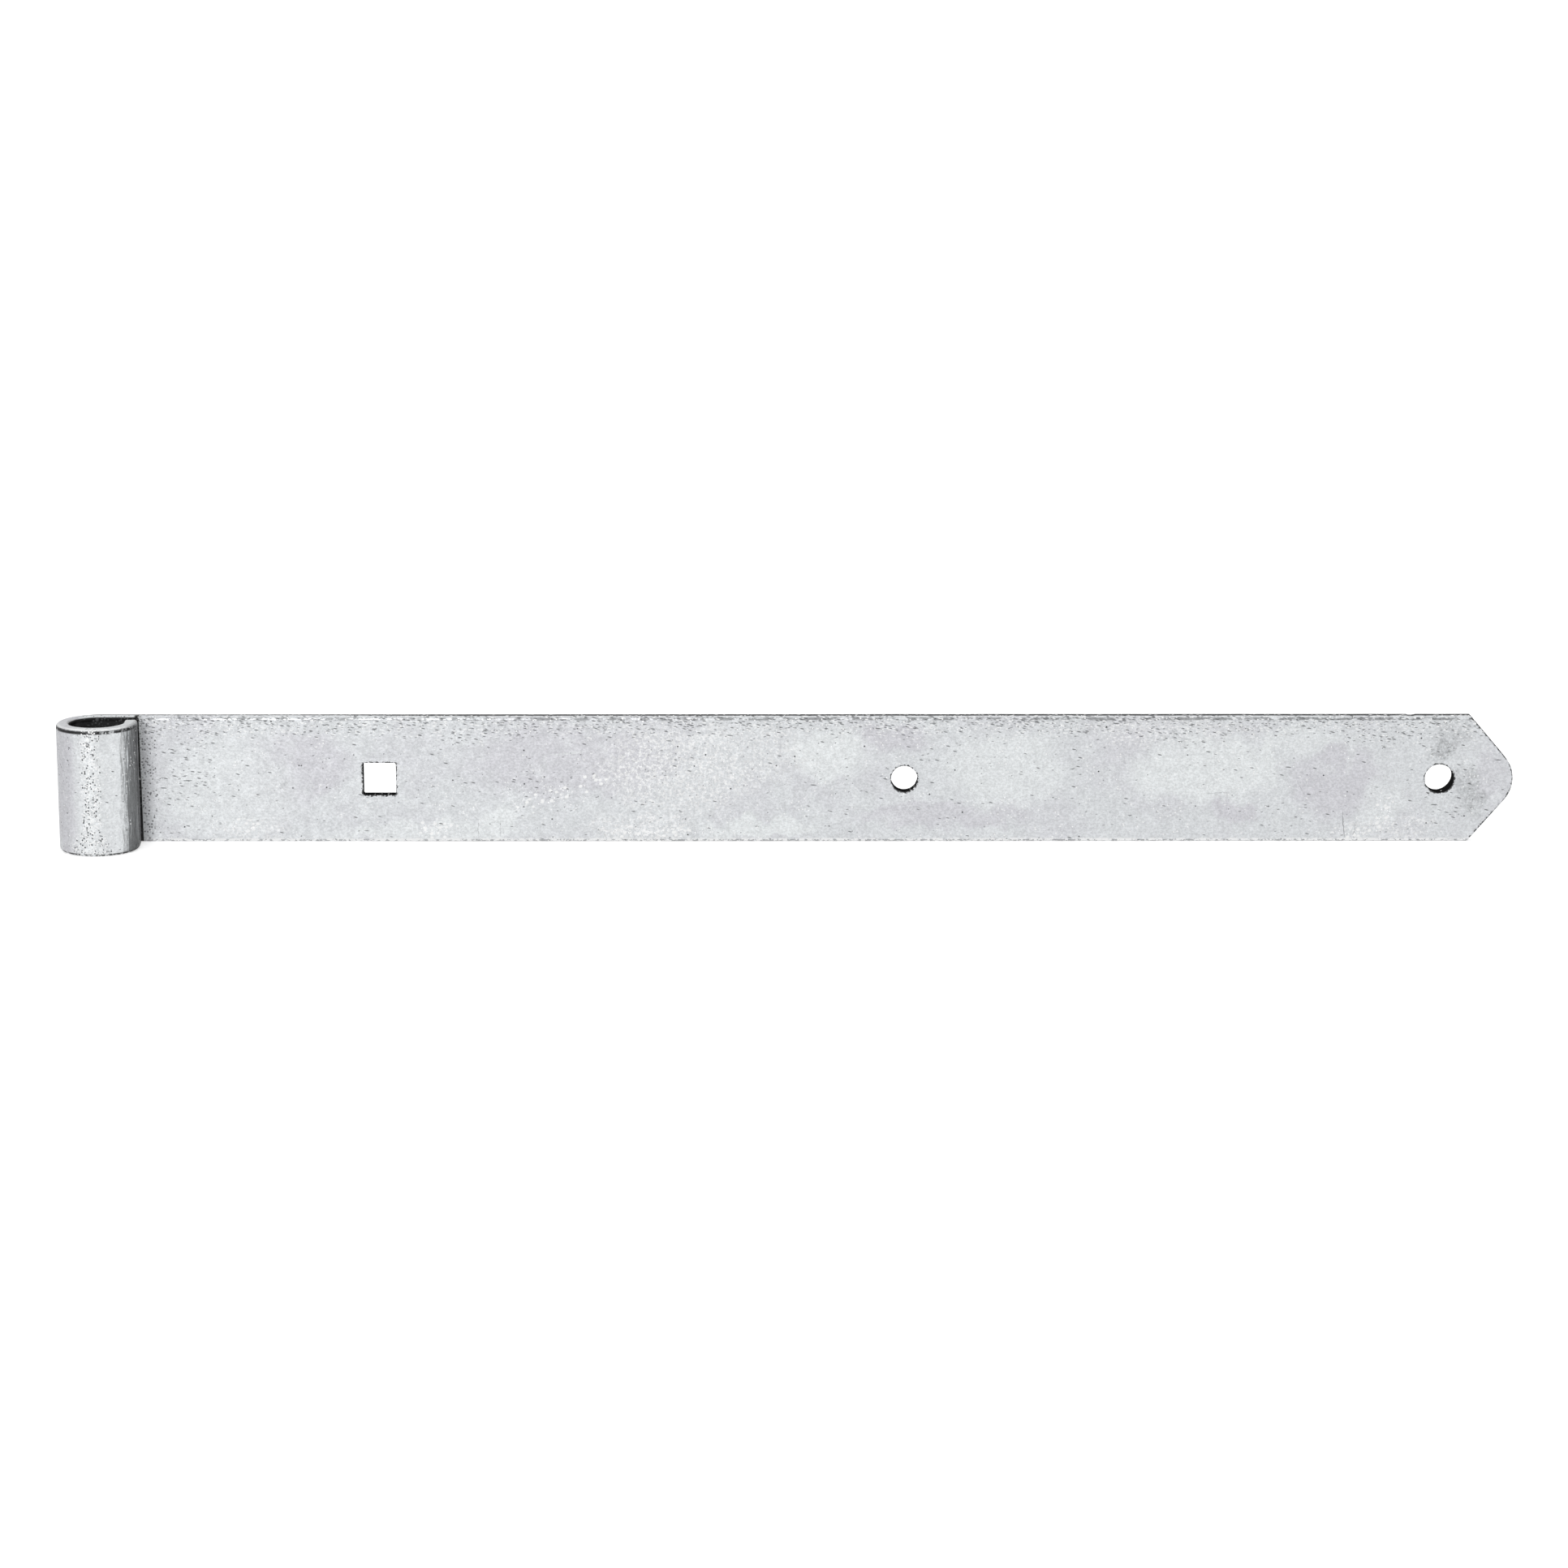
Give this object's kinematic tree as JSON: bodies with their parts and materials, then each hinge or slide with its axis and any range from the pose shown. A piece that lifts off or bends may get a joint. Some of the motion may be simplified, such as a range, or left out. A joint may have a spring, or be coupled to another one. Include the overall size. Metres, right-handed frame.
{
  "type": "hinge band",
  "caption": "Straight zinc-coated steel band of a hook and band gate hinge: a flat strap with a rolled eye for the hook's pin, bolt holes along it and a blunt pointed tip.",
  "frame": {"origin": "on the axis of the rolled eye, halfway up the band", "axes": "+Z along the eye's axis and up as the hinge hangs, +X along the band towards its tip, +Y out of the face that lies against the gate"},
  "size_m": [0.45, 0.0248, 0.04],
  "materials": {
    "zinc_coated_steel": "dull hot-dip zinc, cloudy and finely pitted"
  },
  "bodies": {
    "root": {"band": "zinc_coated_steel"}
  },
  "joints": []
}
